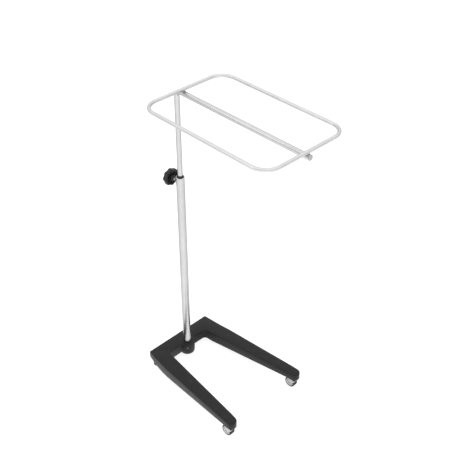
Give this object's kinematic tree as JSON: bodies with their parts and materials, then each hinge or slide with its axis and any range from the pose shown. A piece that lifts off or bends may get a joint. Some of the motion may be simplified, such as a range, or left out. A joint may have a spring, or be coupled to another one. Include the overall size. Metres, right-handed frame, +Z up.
{
  "type": "instrument cart",
  "caption": "Height-adjustable tray stand: round-cornered rod frame on a bent mast that slides and turns in a tube, clamped by a knob, on a U-shaped cast base with casters.",
  "frame": {"origin": "on the floor under the middle of the bounding box", "axes": "+X from the mast to the open end of the U base, +Y to the cart's right, +Z up"},
  "size_m": [0.5436, 0.3248, 1.0325],
  "materials": {
    "bright_chrome": "polished",
    "black_enamelled_iron": "satin enamel",
    "black_plastic": "satin",
    "black_rubber": "matte",
    "tyre_rubber": "matte",
    "zinc_plated_steel": "zinc plated",
    "grey_plastic": "satin",
    "brass": "machined"
  },
  "bodies": {
    "base": {"base_casting": "black_enamelled_iron", "tube_set_screw": "zinc_plated_steel", "lower_tube": "bright_chrome", "guide_bush": "black_plastic", "clamp_nut": "bright_chrome", "foot_left": "black_rubber", "foot_right": "black_rubber", "foot_screw_left": "zinc_plated_steel", "foot_screw_right": "zinc_plated_steel", "caster_stem_left": "zinc_plated_steel", "caster_stem_right": "zinc_plated_steel"},
    "height_slide": {"rod_guide": "black_plastic"},
    "mast": {"mast_rod": "bright_chrome", "arm_end_plug": "zinc_plated_steel", "tray_ring": "bright_chrome"},
    "clamp_pad": {"pressure_pad": "brass"},
    "clamp_screw": {"clamp_stud": "zinc_plated_steel", "clamp_knob": "black_plastic"},
    "caster_left": {"caster_fork_left": "zinc_plated_steel", "caster_axle_left": "zinc_plated_steel"},
    "wheel_left": {"wheel_hub_left": "grey_plastic", "wheel_tyre_left": "tyre_rubber"},
    "caster_right": {"caster_fork_right": "zinc_plated_steel", "caster_axle_right": "zinc_plated_steel"},
    "wheel_right": {"wheel_hub_right": "grey_plastic", "wheel_tyre_right": "tyre_rubber"}
  },
  "joints": [
    {"name": "mast_height", "type": "slide", "parent": "base", "child": "height_slide", "axis": [0, 0, 1], "range_m": [-0.24, 0.27]},
    {"name": "mast_swivel", "type": "hinge", "parent": "height_slide", "child": "mast", "pos_m": [-0.22095, 0, 0.7277], "axis": [0, 0, 1], "continuous": true},
    {"name": "clamp_travel", "type": "slide", "parent": "base", "child": "clamp_pad", "axis": [-1, 0, 0], "range_m": [0, 0.0026]},
    {"name": "clamp_turn", "type": "hinge", "parent": "clamp_pad", "child": "clamp_screw", "pos_m": [-0.23155, 0, 0.708], "axis": [-1, 0, 0], "range_deg": [0, 720]},
    {"name": "caster_swivel_left", "type": "hinge", "parent": "base", "child": "caster_left", "pos_m": [0.14805, -0.1452, 0.03], "axis": [0, 0, 1], "continuous": true},
    {"name": "wheel_spin_left", "type": "hinge", "parent": "caster_left", "child": "wheel_left", "pos_m": [0.13605, -0.1452, 0.019], "axis": [0, 1, 0], "continuous": true},
    {"name": "caster_swivel_right", "type": "hinge", "parent": "base", "child": "caster_right", "pos_m": [0.14805, 0.1452, 0.03], "axis": [0, 0, 1], "continuous": true},
    {"name": "wheel_spin_right", "type": "hinge", "parent": "caster_right", "child": "wheel_right", "pos_m": [0.13605, 0.1452, 0.019], "axis": [0, 1, 0], "continuous": true}
  ],
  "couplings": [
    {"joint": "clamp_travel", "follows": "clamp_turn", "m_per_rad": 0.00019894}
  ]
}
